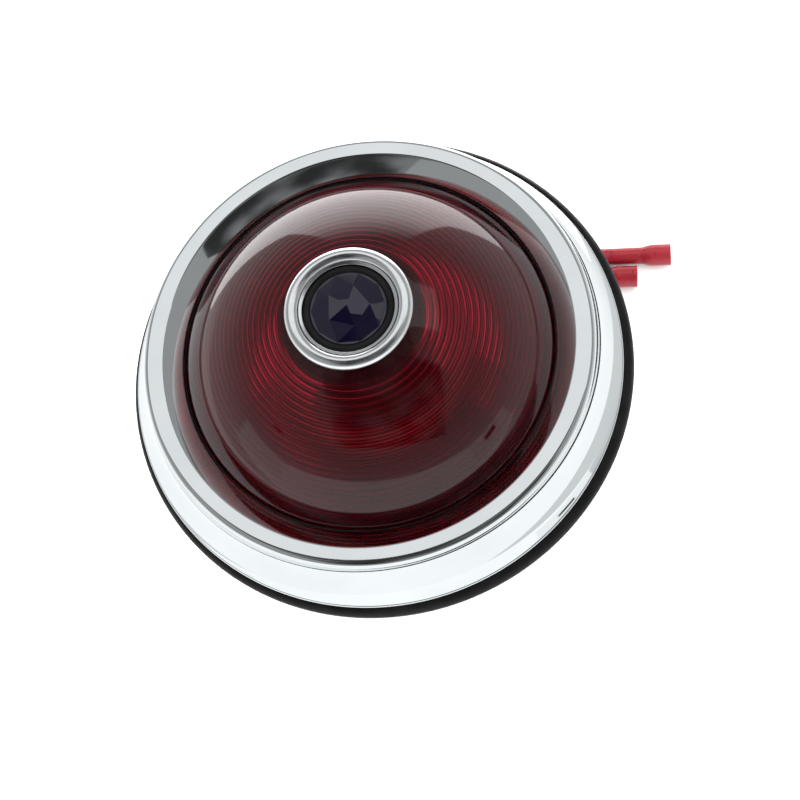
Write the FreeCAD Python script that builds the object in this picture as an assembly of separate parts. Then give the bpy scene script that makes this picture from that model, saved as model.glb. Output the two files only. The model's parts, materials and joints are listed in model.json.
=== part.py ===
import FreeCAD, Part
import math
import os

# Round tail light, lying on its back. Millimetres. Z is the lens axis, pointing out of the lens, and
# Z = 0 is the rear face of the rubber pad, which seats on the panel. The studs, the socket and the leads
# are behind it.

# Driving dimensions
PAD_R = 53.3  # pad, outer radius
PAD_SHIFT_X = 0.45  # how far the pad's outline lies off the lens axis
PAD_BORE_R = 37.5  # pad, centre opening
PAD_T = 3.6  # pad thickness
SKIRT_R = 51.7  # bezel skirt, lower edge
FILLET_R = 46.6  # where the skirt meets the bead
FILLET_Z = 16.0
BEAD_R = 42.6  # inner edge of the bezel's bead
BEAD_Z = 17.1
CROWN_Z = 17.25  # middle of the bead's crown
RIM_R = 45.2  # where the crown turns down to the skirt
RIM_Z = 17.28
LIP_R = 38.6  # bezel lip over the lens edge
LIP_Z = 14.6
RECESS_R = 41.2  # bezel recess that takes the lens flange
FLANGE_Z = 7.6  # top of the bucket flange, where the bezel sits
DOME_R = 43.4  # lens, outer sphere
DOME_Z = -6.3  # centre of that sphere
GLASS_T = 4.2  # lens wall
DOT_HOLE_R = 10.6  # lens centre hole
DOT_RING_R = 12.7
DOT_EDGE_R = 9.05  # dot ring, visible bore
CRYSTAL_R = 7.5
CRYSTAL_Z = 35.5  # girdle of the crystal's facets
STUD_PCD_R = 44.0
STUD_R = 2.5
THREAD_R = 2.3  # mean radius of the studs' thread
STUD_TIP_Z = -32.0
BUCKET_FLOOR_Z = -9.0
SHEET_T = 0.9  # bucket sheet thickness
BASE_R = 7.5  # bulb base
SHELL_BORE_R = 7.8  # socket shell
SHELL_R = 8.5
SHELL_TOP_Z = 3.4
SHELL_END_Z = -22.0
BULB_END_Z = -12.2  # the bulb's solder contacts
GLOBE_R = 9.2
PIN_R = 1.0
PLUNGER_TRAVEL = 2.2
TWIST_DEG = 22.0  # bulb turn from locked to the entry channel
WIRE_R = 1.1
FLOOR_Z = STUD_TIP_Z  # what the stud tips, leads and connectors lie on

UP = FreeCAD.Vector(0, 0, 1)
ORIGIN = FreeCAD.Vector(0, 0, 0)
STUD_ANGLES = (90, 210, 330)
SCREW_ANGLES = (30, 150, 270)


# Helpers

def vec(x, y, z):
    return FreeCAD.Vector(x, y, z)


def section_point(r_and_z):
    return vec(r_and_z[0], 0, r_and_z[1])


def outline(start, *steps):
    """A closed wire in the XZ plane, from steps that are each an end (r, z), reached by a straight line, or
    ((r, z), (r, z)), a point on an arc and the arc's end."""
    edges = []
    here = section_point(start)
    for step in steps + (start,):
        if isinstance(step[0], tuple):
            end = section_point(step[1])
            edges.append(Part.Arc(here, section_point(step[0]), end))
        else:
            end = section_point(step)
            if end == here:
                continue
            edges.append(Part.LineSegment(here, end))
        here = end
    return Part.Wire([edge.toShape() for edge in edges])


def lathe(start, *steps):
    return Part.Face(outline(start, *steps)).revolve(ORIGIN, UP, 360)


def disc(radius, low, high, x=0, y=0):
    return Part.makeCylinder(radius, high - low, vec(x, y, low))


def ring(inner, outer, low, high, x=0, y=0):
    return disc(outer, low, high, x, y).cut(disc(inner, low - 1, high + 1, x, y))


def sector(radius, low, high, from_deg, to_deg):
    wedge = Part.makeCylinder(radius, high - low, vec(0, 0, low), UP, to_deg - from_deg)
    wedge.rotate(ORIGIN, UP, from_deg)
    return wedge


def polar(radius, angle_deg, z=0.0):
    angle = math.radians(angle_deg)
    return vec(radius * math.cos(angle), radius * math.sin(angle), z)


def around(shape, angles):
    """Copies of a shape made at angle 0, turned to each angle about the lens axis."""
    copies = []
    for angle in angles:
        copy = shape.copy()
        copy.rotate(ORIGIN, UP, angle)
        copies.append(copy)
    return copies


def group(shapes):
    """Separate solids in one node."""
    return Part.makeCompound([solid for shape in shapes for solid in shape.Solids])


def dome_r(z, radius=DOME_R):
    return math.sqrt(radius ** 2 - (z - DOME_Z) ** 2)


def dome_point(radius, angle_deg):
    """(r, z) on a sphere about the dome's centre, at an angle from the lens axis."""
    angle = math.radians(angle_deg)
    return radius * math.sin(angle), DOME_Z + radius * math.cos(angle)


# Bezel: bead, inner cone, flared skirt with a rounded lip, and six bosses behind

BOSS_R = 3.2
BOSS_TOP_Z = 12.8
THREAD_TOP_Z = 12.4  # bottom of the bosses' blind holes
LENS_FLANGE_TOP = 12.9
LIP_UNDER_Z = 13.5
SCREW_R = 1.9
SKIRT_T = 1.6


def bezel():
    body = lathe(
        (LIP_R, LIP_Z),
        (BEAD_R, BEAD_Z),
        ((BEAD_R + 1.4, CROWN_Z), (RIM_R, RIM_Z)),
        ((RIM_R + 0.9, RIM_Z - 0.33), (FILLET_R, FILLET_Z)),
        ((FILLET_R + 1.4, 9.6), (SKIRT_R - 0.3, 4.5)),
        ((SKIRT_R, 4.0), (SKIRT_R - 0.3, PAD_T)),
        (SKIRT_R - SKIRT_T, PAD_T),
        ((FILLET_R - 0.2, 9.2), (FILLET_R - 1.4, BOSS_TOP_Z)),
        (RECESS_R + 2.0, BOSS_TOP_Z),
        (RECESS_R + 2.0, FLANGE_Z),
        (RECESS_R, FLANGE_Z),
        (RECESS_R, LIP_UNDER_Z),
        (LIP_R + 0.3, LIP_UNDER_Z),
    )
    boss_root_z = BOSS_TOP_Z + 0.2
    boss = disc(BOSS_R, FLANGE_Z, boss_root_z, STUD_PCD_R)
    inside_skirt = lathe(
        (0, FLANGE_Z),
        (FILLET_R + 1.8, FLANGE_Z),
        (FILLET_R - 0.8, boss_root_z),
        (0, boss_root_z),
    )
    bosses = [turned.common(inside_skirt) for turned in around(boss, STUD_ANGLES + SCREW_ANGLES)]
    recess = disc(RECESS_R, FLANGE_Z - 1, LIP_UNDER_Z)
    holes = around(disc(THREAD_R, FLANGE_Z - 1, THREAD_TOP_Z, STUD_PCD_R), STUD_ANGLES)
    holes += around(disc(SCREW_R, FLANGE_Z - 1, THREAD_TOP_Z, STUD_PCD_R), SCREW_ANGLES)
    return body.fuse(bosses).cut([recess] + holes).removeSplitter()


# Lens: domed red glass with a flange, a centre hole and prism rings on its inner face

PRISM_RINGS = 22
PRISM_H = 0.8
LENS_FLANGE_R = 40.9
LENS_FLANGE_LOW = 9.6
DOT_SEAT_Z = 35.0  # flat face under the dot ring's gasket
DOT_SEAT_R = 12.4
DOT_BACK_Z = 30.4  # flat face behind it, for the fibre washer
DOT_BACK_R = 13.9


def lens():
    inner = DOME_R - GLASS_T
    foot_r = dome_r(LENS_FLANGE_LOW, inner)
    first = math.degrees(math.asin(DOT_BACK_R / inner))
    last = math.degrees(math.asin(foot_r / inner)) - 1.0
    step = (last - first) / PRISM_RINGS
    prisms = []
    for i in range(PRISM_RINGS):
        prisms.append(dome_point(inner, first + i * step))
        prisms.append(dome_point(inner - PRISM_H, first + (i + 0.75) * step))
    prisms.append(dome_point(inner, last))
    crown = (DOT_SEAT_R, DOME_Z + math.sqrt(DOME_R ** 2 - DOT_SEAT_R ** 2))
    return lathe(
        (DOT_HOLE_R, DOT_SEAT_Z),
        (DOT_SEAT_R, DOT_SEAT_Z),
        crown,
        (dome_point(DOME_R, 42), (dome_r(LENS_FLANGE_TOP), LENS_FLANGE_TOP)),
        (LENS_FLANGE_R, LENS_FLANGE_TOP),
        (LENS_FLANGE_R, LENS_FLANGE_LOW),
        (foot_r, LENS_FLANGE_LOW),
        *reversed(prisms),
        (DOT_BACK_R, DOT_BACK_Z),
        (DOT_HOLE_R, DOT_BACK_Z),
    )


def lens_seal():
    """Thin rubber ring on top of the lens flange, with a lip that fills the gap at the bezel's edge."""
    lip_top = LIP_Z - 0.4
    return lathe(
        (dome_r(LENS_FLANGE_TOP) + 0.05, LENS_FLANGE_TOP),
        (RECESS_R - 0.1, LENS_FLANGE_TOP),
        (RECESS_R - 0.1, LIP_UNDER_Z),
        (LIP_R + 0.2, LIP_UNDER_Z),
        (LIP_R, lip_top),
        (dome_r(lip_top) + 0.05, lip_top),
        (dome_r(LIP_UNDER_Z) + 0.05, LIP_UNDER_Z),
    )


# Bucket: the pressed steel reflector housing, with its gasket and screws

BUCKET_R = 46.8
STUD_HOLE_R = 3.8
RIVET_X = 10.6
RIVET_R = 1.4


def bucket():
    floor_z = BUCKET_FLOOR_Z
    body = lathe(
        (BUCKET_R, FLANGE_Z),
        (35.6, FLANGE_Z),
        ((31.6, -3.6), (22.0, floor_z)),
        (SHELL_R + 0.1, floor_z),
        (SHELL_R + 0.1, floor_z - SHEET_T),
        (22.3, floor_z - SHEET_T),
        ((32.4, -4.2), (36.5, FLANGE_Z - SHEET_T)),
        (BUCKET_R, FLANGE_Z - SHEET_T),
    )
    holes = around(disc(STUD_HOLE_R, FLANGE_Z - 2, FLANGE_Z + 1, STUD_PCD_R), STUD_ANGLES)
    holes += around(disc(SCREW_R + 0.3, FLANGE_Z - 2, FLANGE_Z + 1, STUD_PCD_R), SCREW_ANGLES)
    holes += around(disc(RIVET_R, floor_z - 2, floor_z + 1, RIVET_X), (0, 180))
    return body.cut(holes)


def bucket_gasket():
    return ring(35.9, RECESS_R - 0.1, FLANGE_Z, LENS_FLANGE_LOW)


SCREW_HEAD_R = 3.4
SCREW_HEAD_H = 2.0
SCREW_WASHER_T = 0.6
SCREW_SEAT_Z = FLANGE_Z - SHEET_T - SCREW_WASHER_T


def cross_recess(x, low, high):
    across = 3.0
    width = 0.8
    bars = [
        Part.makeBox(across, width, high - low, vec(x - across / 2, -width / 2, low)),
        Part.makeBox(width, across, high - low, vec(x - width / 2, -across / 2, low)),
    ]
    return bars[0].fuse(bars[1])


def bucket_screws():
    head_low = SCREW_SEAT_Z - SCREW_HEAD_H
    head = disc(SCREW_HEAD_R, head_low, SCREW_SEAT_Z, STUD_PCD_R)
    rim = [edge for edge in head.Edges if edge.BoundBox.ZMax < head_low + 0.1]
    head = head.makeFillet(0.9, rim)
    screw = head.fuse(disc(SCREW_R, SCREW_SEAT_Z, THREAD_TOP_Z - 0.4, STUD_PCD_R))
    screw = screw.cut(cross_recess(STUD_PCD_R, head_low - 1, head_low + 1.2))
    return group(around(screw, SCREW_ANGLES))


def bucket_washers():
    washer = ring(SCREW_R + 0.2, SCREW_HEAD_R + 0.2, SCREW_SEAT_Z, FLANGE_Z - SHEET_T, STUD_PCD_R)
    return group(around(washer, SCREW_ANGLES))


# Pad: moulded rubber between the bezel and the panel, with a rib that centres the skirt

PAD_HOLE_R = 4.0


def mounting_pad():
    edge_r = PAD_R - 1.1
    rib_r = 48.2
    rib_top = PAD_T + 1.0
    body = lathe(
        (PAD_BORE_R, 0),
        (edge_r, 0),
        ((PAD_R, 2.0), (edge_r, PAD_T)),
        (rib_r + 1.2, PAD_T),
        (rib_r + 0.8, rib_top),
        (rib_r, rib_top),
        (rib_r, PAD_T),
        (PAD_BORE_R, PAD_T),
    )
    body.translate(vec(PAD_SHIFT_X, 0, 0))
    return body.cut(around(disc(PAD_HOLE_R, -1, PAD_T + 2, STUD_PCD_R), STUD_ANGLES))


# Mounting studs and their hardware

SHOULDER_END_Z = -2.0
COLLAR_SEAT_R = 3.0  # collar that seats on the bezel boss
COLLAR_SEAT_H = 2.2
STUD_CHAMFER = 0.6
WASHER_TOP_Z = -8.0
WASHER_LOW_Z = WASHER_TOP_Z - 1.0
NUT_TOP_Z = WASHER_LOW_Z - 1.2
NUT_H = 4.0
NUT_FLATS = 8.0


def mounting_studs():
    collar_low = FLANGE_Z - COLLAR_SEAT_H
    tip_at = vec(STUD_PCD_R, 0, STUD_TIP_Z)
    stud = Part.makeCone(THREAD_R - STUD_CHAMFER, THREAD_R, STUD_CHAMFER, tip_at).fuse([
        disc(THREAD_R, STUD_TIP_Z + STUD_CHAMFER, SHOULDER_END_Z, STUD_PCD_R),
        disc(STUD_R, SHOULDER_END_Z, collar_low, STUD_PCD_R),
        disc(COLLAR_SEAT_R, collar_low, FLANGE_Z, STUD_PCD_R),
        disc(THREAD_R, FLANGE_Z, THREAD_TOP_Z - 0.2, STUD_PCD_R),
    ])
    return group(around(stud, STUD_ANGLES))


def stud_washers():
    washer = ring(THREAD_R + 0.3, 5.5, WASHER_LOW_Z, WASHER_TOP_Z, STUD_PCD_R)
    return group(around(washer, STUD_ANGLES))


def stud_lock_washers():
    """Split spring washers, each with a slanted cut."""
    washer = ring(THREAD_R + 0.3, 4.5, NUT_TOP_Z, WASHER_LOW_Z, STUD_PCD_R)
    cut = Part.makeBox(6, 0.5, 6, vec(STUD_PCD_R, -0.25, -3))
    cut.rotate(vec(STUD_PCD_R, 0, 0), vec(1, 0, 0), 35)
    cut.translate(vec(0, 0, (NUT_TOP_Z + WASHER_LOW_Z) / 2))
    return group(around(washer.cut(cut), STUD_ANGLES))


def hexagon(across_flats, low, high, x=0):
    corner = across_flats / math.sqrt(3)
    points = [polar(corner, 60 * i, low) + vec(x, 0, 0) for i in range(7)]
    return Part.Face(Part.makePolygon(points)).extrude(vec(0, 0, high - low))


def chamfered_nut(bore_r, across_flats, low, high, x=0):
    corner = across_flats / math.sqrt(3)
    half = (high - low) / 2
    reach = corner + half * 1.8
    lower = Part.makeCone(corner - 0.5, reach, half, vec(x, 0, low))
    upper = Part.makeCone(reach, corner - 0.5, half, vec(x, 0, low + half))
    blank = hexagon(across_flats, low, high, x).common(lower.fuse(upper))
    return blank.cut(disc(bore_r, low - 1, high + 1, x))


def stud_nuts():
    nut = chamfered_nut(THREAD_R, NUT_FLATS, NUT_TOP_Z - NUT_H, NUT_TOP_Z, STUD_PCD_R)
    return group(around(nut, STUD_ANGLES))


# Dot: a faceted crystal in a chrome ring, held through the lens by a ring nut

RING_UNDER_Z = 35.4
COLLAR_R = 10.3
COLLAR_BORE_R = 9.3
COLLAR_LOW = 27.2
CRYSTAL_STEP_Z = 34.6  # the dot ring's rebate, where the crystal's rim seats
CRYSTAL_RIM_LOW = 33.6
DOT_NUT_TOP = 29.6


def dot_ring():
    return lathe(
        (DOT_RING_R, RING_UNDER_Z),
        ((11.6, 36.75), (9.7, 35.95)),
        (DOT_EDGE_R, 35.75),
        (DOT_EDGE_R, CRYSTAL_STEP_Z),
        (COLLAR_BORE_R, CRYSTAL_STEP_Z),
        (COLLAR_BORE_R, COLLAR_LOW),
        (COLLAR_R, COLLAR_LOW),
        (COLLAR_R, RING_UNDER_Z),
    )


def dot_gasket():
    return ring(COLLAR_R + 0.3, 12.3, DOT_SEAT_Z, RING_UNDER_Z)


def dot_seal():
    return lathe(
        (CRYSTAL_R + 0.05, CRYSTAL_STEP_Z),
        (DOT_EDGE_R - 0.05, CRYSTAL_STEP_Z),
        (DOT_EDGE_R - 0.05, 35.3),
        ((8.3, 35.75), (CRYSTAL_R + 0.05, 35.4)),
    )


FACET_FOLDS = 5
FACET_TURN_DEG = 74.0  # direction of the first star point
STAR_R = 4.4
STAR_Z = 36.65
APEX_Z = 37.2
GIRDLE_R = CRYSTAL_R - 0.2
GIRDLE_H = 0.3


def facet_corners(radius, count, z):
    return [polar(radius, FACET_TURN_DEG + i * 360 / count, z) for i in range(count + 1)]


def faceted_crown():
    """Rose-cut crown: a five-pointed star of facets on top and fifteen facets round it, on a ten-sided
    girdle."""
    apex = vec(0, 0, APEX_Z)
    star = facet_corners(STAR_R, FACET_FOLDS, STAR_Z)
    girdle = facet_corners(GIRDLE_R, 2 * FACET_FOLDS, CRYSTAL_Z)
    corners = []
    for i in range(FACET_FOLDS):
        here, after = star[i], star[i + 1]
        left, middle, right = girdle[2 * i:2 * i + 3]
        corners += [(apex, here, after), (here, middle, after), (here, left, middle), (after, middle, right)]
    faces = [Part.Face(Part.makePolygon([a, b, c, a])) for a, b, c in corners]
    foot = Part.Face(Part.makePolygon(girdle))
    crown = Part.makeSolid(Part.makeShell(faces + [foot]))
    return crown.fuse(foot.extrude(vec(0, 0, -GIRDLE_H)))


def dot_crystal():
    rim_r = COLLAR_BORE_R - 0.1
    back_z = 32.4
    body = lathe(
        (0, CRYSTAL_Z),
        (CRYSTAL_R, CRYSTAL_Z),
        (CRYSTAL_R, CRYSTAL_STEP_Z),
        (rim_r, CRYSTAL_STEP_Z),
        (rim_r, CRYSTAL_RIM_LOW),
        (8.0, CRYSTAL_RIM_LOW),
        ((5.4, 32.75), (2.5, back_z)),
        (0, back_z),
    )
    return body.fuse(faceted_crown())


def dot_circlip():
    clip = ring(8.1, COLLAR_BORE_R, CRYSTAL_RIM_LOW - 0.7, CRYSTAL_RIM_LOW)
    return clip.cut(sector(10, 32, 34.5, -14, 14))


def dot_washer():
    return ring(COLLAR_R + 0.1, 13.4, DOT_NUT_TOP, DOT_BACK_Z)


def dot_nut():
    """Ring nut on the dot ring's collar, with four notches for a pin spanner."""
    nut = ring(COLLAR_R, 13.2, COLLAR_LOW + 0.2, DOT_NUT_TOP)
    notch = Part.makeBox(3, 2, 1.2, vec(11.8, -1, COLLAR_LOW))
    return nut.cut(around(notch, (0, 90, 180, 270)))


# Socket: bayonet shell riveted under the bucket floor, with its insulator and grommet

PIN_LOW_Z = BULB_END_Z + 6.5
PIN_HIGH_Z = PIN_LOW_Z + 3.2
SHELL_LIP_R = 6.6
SHELL_LIP_T = 0.6
SHELL_FOOT_R = 13.0  # flange riveted to the bucket
SHELL_FOOT_T = 0.8
GROMMET_END_Z = -24.2
WIRE_OFFSET = 2.2  # wire holes, each side of the axis along Y
INSULATOR_TOP_Z = -20.0


def bayonet_slot(pin_z, at_deg):
    """Space for one base pin: the locked place, the turn and the way out at the shell's top edge."""
    half_deg = math.degrees((PIN_R + 0.2) / SHELL_BORE_R)
    out_deg = at_deg + TWIST_DEG
    low = pin_z - PIN_R - PLUNGER_TRAVEL - 0.2
    high = pin_z + PIN_R + 0.15
    window = sector(SHELL_R + 1, low, high, at_deg - half_deg, out_deg + half_deg)
    way_out = sector(SHELL_R + 1, low, SHELL_TOP_Z + 1, out_deg - half_deg, out_deg + half_deg)
    return window.fuse(way_out)


def socket_shell():
    under_floor = BUCKET_FLOOR_Z - SHEET_T
    body = lathe(
        (SHELL_BORE_R, SHELL_TOP_Z),
        (SHELL_R, SHELL_TOP_Z),
        (SHELL_R, under_floor),
        (SHELL_FOOT_R, under_floor),
        (SHELL_FOOT_R, under_floor - SHELL_FOOT_T),
        (SHELL_R, under_floor - SHELL_FOOT_T),
        (SHELL_R, SHELL_END_Z),
        (SHELL_LIP_R, SHELL_END_Z),
        (SHELL_LIP_R, SHELL_END_Z + SHELL_LIP_T),
        (SHELL_BORE_R, SHELL_END_Z + SHELL_LIP_T),
    )
    cuts = around(disc(RIVET_R, under_floor - 2, under_floor + 1, RIVET_X), (0, 180))
    cuts += [bayonet_slot(PIN_LOW_Z, 0), bayonet_slot(PIN_HIGH_Z, 180)]
    return body.cut(cuts)


def socket_rivets():
    top = BUCKET_FLOOR_Z
    under = BUCKET_FLOOR_Z - SHEET_T - SHELL_FOOT_T
    ball_r = 2.0
    sunk = 1.1  # how far each head's ball centre is inside the sheets
    upper_ball = Part.makeSphere(ball_r, vec(RIVET_X, 0, top - sunk))
    lower_ball = Part.makeSphere(ball_r, vec(RIVET_X, 0, under + sunk))
    heads = [
        upper_ball.common(disc(ball_r, top, top + ball_r, RIVET_X)),
        lower_ball.common(disc(ball_r, under - ball_r, under, RIVET_X)),
    ]
    rivet = disc(RIVET_R, under, top, RIVET_X).fuse(heads)
    return group(around(rivet, (0, 180)))


def wire_holes(low, high):
    return [disc(WIRE_R, low, high, 0, side * WIRE_OFFSET) for side in (-1, 1)]


def socket_insulator():
    return disc(SHELL_BORE_R, SHELL_END_Z + SHELL_LIP_T, INSULATOR_TOP_Z).cut(wire_holes(-25, -15))


def wire_grommet():
    top = SHELL_END_Z + SHELL_LIP_T
    body = lathe(
        (0, top),
        (SHELL_LIP_R - 0.1, top),
        (SHELL_LIP_R - 0.1, SHELL_END_Z - 0.3),
        ((5.9, -23.4), (4.9, GROMMET_END_Z)),
        (0, GROMMET_END_Z),
    )
    return body.cut(wire_holes(-30, -15))


# Contact plunger: a disc with two rivet contacts, pushed up against the bulb by a coil spring

DISC_TOP_Z = -13.0
DISC_LOW_Z = -15.0
CONTACT_Y = 3.5
CONTACT_SHANK_R = 0.9
SPRING_R = 5.8
SPRING_WIRE_R = 0.4
SPRING_TURNS = 3.5


def contact_disc():
    body = disc(SHELL_BORE_R - 0.4, DISC_LOW_Z, DISC_TOP_Z)
    shanks = [disc(CONTACT_SHANK_R, DISC_LOW_Z, DISC_TOP_Z, 0, side * CONTACT_Y) for side in (-1, 1)]
    return body.cut(shanks)


def contact_rivets():
    rivets = []
    for side in (-1, 1):
        y = side * CONTACT_Y
        head = disc(1.7, DISC_TOP_Z, BULB_END_Z - 0.05, 0, y)
        rivets.append(head.fuse(disc(CONTACT_SHANK_R, DISC_LOW_Z - 1.4, DISC_TOP_Z, 0, y)))
    return group(rivets)


def plunger_spring():
    """Round wire along a rising row of quarter-turn arcs."""
    low = INSULATOR_TOP_Z + SPRING_WIRE_R + 0.02
    high = DISC_LOW_Z - SPRING_WIRE_R - 0.02
    steps = int(8 * SPRING_TURNS)
    rise = (high - low) / steps
    points = [polar(SPRING_R, 45 * i, low + rise * i) for i in range(steps + 1)]
    arcs = [Part.Arc(*points[i:i + 3]).toShape() for i in range(0, steps, 2)]
    along = arcs[0].tangentAt(arcs[0].FirstParameter)
    section = Part.Wire(Part.makeCircle(SPRING_WIRE_R, points[0], along))
    return Part.Wire(arcs).makePipeShell([section], True, False)


# Bulb: 19 mm globe on a double-contact bayonet base, with a tail and a brake filament

BASE_TOP_Z = 2.6
GLOBE_Z = 14.4
NECK_R = 6.6
GLASS_WALL = 0.5
FILAMENT_Z = 13.0
SUPPORT_R = 0.3


def bulb_globe():
    neck_z = GLOBE_Z - math.sqrt(GLOBE_R ** 2 - NECK_R ** 2)
    inner_r = GLOBE_R - GLASS_WALL
    inner_neck_r = NECK_R - GLASS_WALL
    inner_neck_z = GLOBE_Z - math.sqrt(inner_r ** 2 - inner_neck_r ** 2)
    return lathe(
        (0, GLOBE_Z + GLOBE_R),
        ((GLOBE_R, GLOBE_Z), (NECK_R, neck_z)),
        (NECK_R, 0.0),
        (inner_neck_r, 0.0),
        (inner_neck_r, inner_neck_z),
        ((inner_r, GLOBE_Z), (0, GLOBE_Z + inner_r)),
    )


BASE_LOW_Z = BULB_END_Z + 1.2
BASE_WALL = 0.4


def bulb_base():
    shell = lathe(
        (BASE_R - 0.4, BASE_TOP_Z),
        (BASE_R, BASE_TOP_Z - 0.4),
        (BASE_R, BASE_LOW_Z + 0.4),
        (BASE_R - BASE_WALL, BASE_LOW_Z),
        (BASE_R - BASE_WALL, 0.0),
        (NECK_R, 0.0),
        (NECK_R, BASE_TOP_Z),
    )
    return shell.cut(pin_bars(BASE_R - 1.0, BASE_R + 1.0))


def pin_bars(inner, outer):
    low_pin = Part.makeCylinder(PIN_R, outer - inner, vec(inner, 0, PIN_LOW_Z), vec(1, 0, 0))
    high_pin = Part.makeCylinder(PIN_R, outer - inner, vec(-inner, 0, PIN_HIGH_Z), vec(-1, 0, 0))
    return [low_pin, high_pin]


def bulb_pins():
    return group(pin_bars(BASE_R - 0.7, SHELL_R - 0.05))


SOLDER_H = 0.7


def bulb_insulator():
    low = BULB_END_Z + SOLDER_H
    top = low + 1.9
    return lathe(
        (0, low),
        (BASE_R - 0.9, low),
        (BASE_R - BASE_WALL, BASE_LOW_Z),
        (BASE_R - BASE_WALL, top),
        (0, top),
    )


def bulb_contacts():
    contacts = []
    for side in (-1, 1):
        y = side * CONTACT_Y
        bead = disc(1.6, BULB_END_Z, BULB_END_Z + SOLDER_H, 0, y)
        rim = [edge for edge in bead.Edges if edge.BoundBox.ZMax < BULB_END_Z + 0.1]
        contacts.append(bead.makeFillet(0.4, rim))
    return group(contacts)


def bulb_stem():
    """Glass stem: a flared foot inside the neck, a tube and the pressed bead that holds the supports."""
    body = lathe(
        (0, -0.6),
        (5.6, -0.6),
        (5.6, 0.0),
        ((3.0, 1.4), (2.2, 4.2)),
        (2.2, 7.0),
        ((1.9, 8.1), (1.0, 8.6)),
        (0, 8.6),
    )
    return body.cut(filament_supports())


def round_bar(points, radius):
    """Straight pieces of wire joined by balls."""
    parts = []
    for start, end in zip(points, points[1:]):
        run = end.sub(start)
        parts.append(Part.makeCylinder(radius, run.Length, start, run))
        parts.append(Part.makeSphere(radius, end))
    return parts[0].fuse(parts[1:])


# Each filament: side of the bulb along X, height above FILAMENT_Z
TAIL_FILAMENT = (1.9, -1.2)
BRAKE_FILAMENT = (-1.9, 1.4)
FILAMENT_HALF = 2.9


def filament_supports():
    """Two posts to each filament, standing in the stem."""
    posts = []
    for x, rise in (TAIL_FILAMENT, BRAKE_FILAMENT):
        for side in (-1, 1):
            foot = vec(x * 0.5, side * 1.0, 7.4)
            knee = vec(x, side * FILAMENT_HALF, FILAMENT_Z + rise - 2.0)
            top = vec(x, side * FILAMENT_HALF, FILAMENT_Z + rise + 0.4)
            posts.append(round_bar([foot, knee, top], SUPPORT_R))
    return group(posts)


def filament(place, coil_r):
    x, rise = place
    reach = FILAMENT_HALF - SUPPORT_R
    return Part.makeCylinder(coil_r, 2 * reach, vec(x, -reach, FILAMENT_Z + rise), vec(0, 1, 0))


# Leads: each a list of route points, from inside the socket to its crimp barrel. They drop to the floor
# behind the lamp and lie on it.

LEAD_Z = FLOOR_Z + WIRE_R
BELL_R = 2.45  # connector, flared ends
BELL_WALL = 0.5
SLEEVE_R = 1.95  # connector, middle
SLEEVE_BORE_R = 1.5
CONNECTOR_L = 25.0
BARREL_L = 15.0
BARREL_BORE_R = 1.0
STRIPPED_L = 6.2
STRAND_R = 0.8
CONNECTOR_Z = FLOOR_Z + BELL_R
TAIL_CONNECTOR = (63.4, 36.2, -1.2)  # x and y of its outer end, and its heading in degrees
BRAKE_CONNECTOR = (55.5, 31.2, -2.5)


def connector_point(place, along):
    """A point on a connector's axis, measured from its outer end towards the lead."""
    x, y, heading = place
    return vec(x, y, CONNECTOR_Z) - polar(along, heading)


TAIL_ROUTE = [
    vec(0, -2.2, -19.6),
    vec(0, -2.2, -25.6),
    vec(-0.8, -2.4, -28.5),
    vec(-3.3, -2.9, -30.4),
    vec(-7.8, -3.0, LEAD_Z),
    vec(-14.5, 0.4, LEAD_Z),
    vec(-19.0, 8.0, LEAD_Z),
    vec(-18.0, 18.5, LEAD_Z),
    vec(-10.5, 27.5, LEAD_Z),
    vec(1.5, 32.8, LEAD_Z),
    vec(14.5, 36.0, LEAD_Z),
    vec(25.5, 37.6, LEAD_Z + 0.3),
    connector_point(TAIL_CONNECTOR, CONNECTOR_L + 3.0),
    connector_point(TAIL_CONNECTOR, (CONNECTOR_L + BARREL_L) / 2),
]
BRAKE_ROUTE = [
    vec(0, 2.2, -19.6),
    vec(0, 2.2, -25.6),
    vec(-0.6, 2.6, -28.5),
    vec(-2.7, 4.2, -30.4),
    vec(-6.0, 7.2, LEAD_Z),
    vec(-9.2, 12.2, LEAD_Z),
    vec(-9.0, 18.6, LEAD_Z),
    vec(-4.0, 24.2, LEAD_Z),
    vec(5.5, 28.6, LEAD_Z),
    vec(16.5, 31.6, LEAD_Z + 0.3),
    connector_point(BRAKE_CONNECTOR, CONNECTOR_L + 3.0),
    connector_point(BRAKE_CONNECTOR, (CONNECTOR_L + BARREL_L) / 2),
]


def lead(name, route):
    """A tube along the route: straight runs joined by tangent arcs."""
    edges = []
    radii = []
    here = route[0]
    for before, corner, after in zip(route, route[1:], route[2:]):
        back = before.sub(corner)
        ahead = after.sub(corner)
        shorter = min(back.Length, ahead.Length)
        turn = math.pi - back.getAngle(ahead)
        cut_back = 0.45 * shorter
        radii.append(cut_back / math.tan(turn / 2))
        start = corner + back.normalize() * cut_back
        end = corner + ahead.normalize() * cut_back
        middle_way = (back + ahead).normalize()
        middle = corner + middle_way * radii[-1] * (1 / math.cos(turn / 2) - 1)
        edges.append(Part.LineSegment(here, start).toShape())
        edges.append(Part.Arc(start, middle, end).toShape())
        here = end
    edges.append(Part.LineSegment(here, route[-1]).toShape())
    path = Part.Wire(edges)
    first_run = route[1].sub(route[0])
    section = Part.Wire(Part.makeCircle(WIRE_R, route[0], first_run))
    tube = path.makePipeShell([section], True, False)
    expected = math.pi * WIRE_R ** 2 * path.Length
    print(name, "length %.1f mm, radii" % path.Length, ["%.1f" % r for r in radii])
    print(name, "tube volume / (section x length) = %.4f" % (tube.Volume / expected))
    return tube


def along_connector(shape, place):
    """Moves a shape made along +X, with its outer end at the origin's +X side, onto a connector's axis."""
    x, y, heading = place
    shape.rotate(ORIGIN, UP, heading)
    shape.translate(vec(x, y, CONNECTOR_Z))
    return shape


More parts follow.
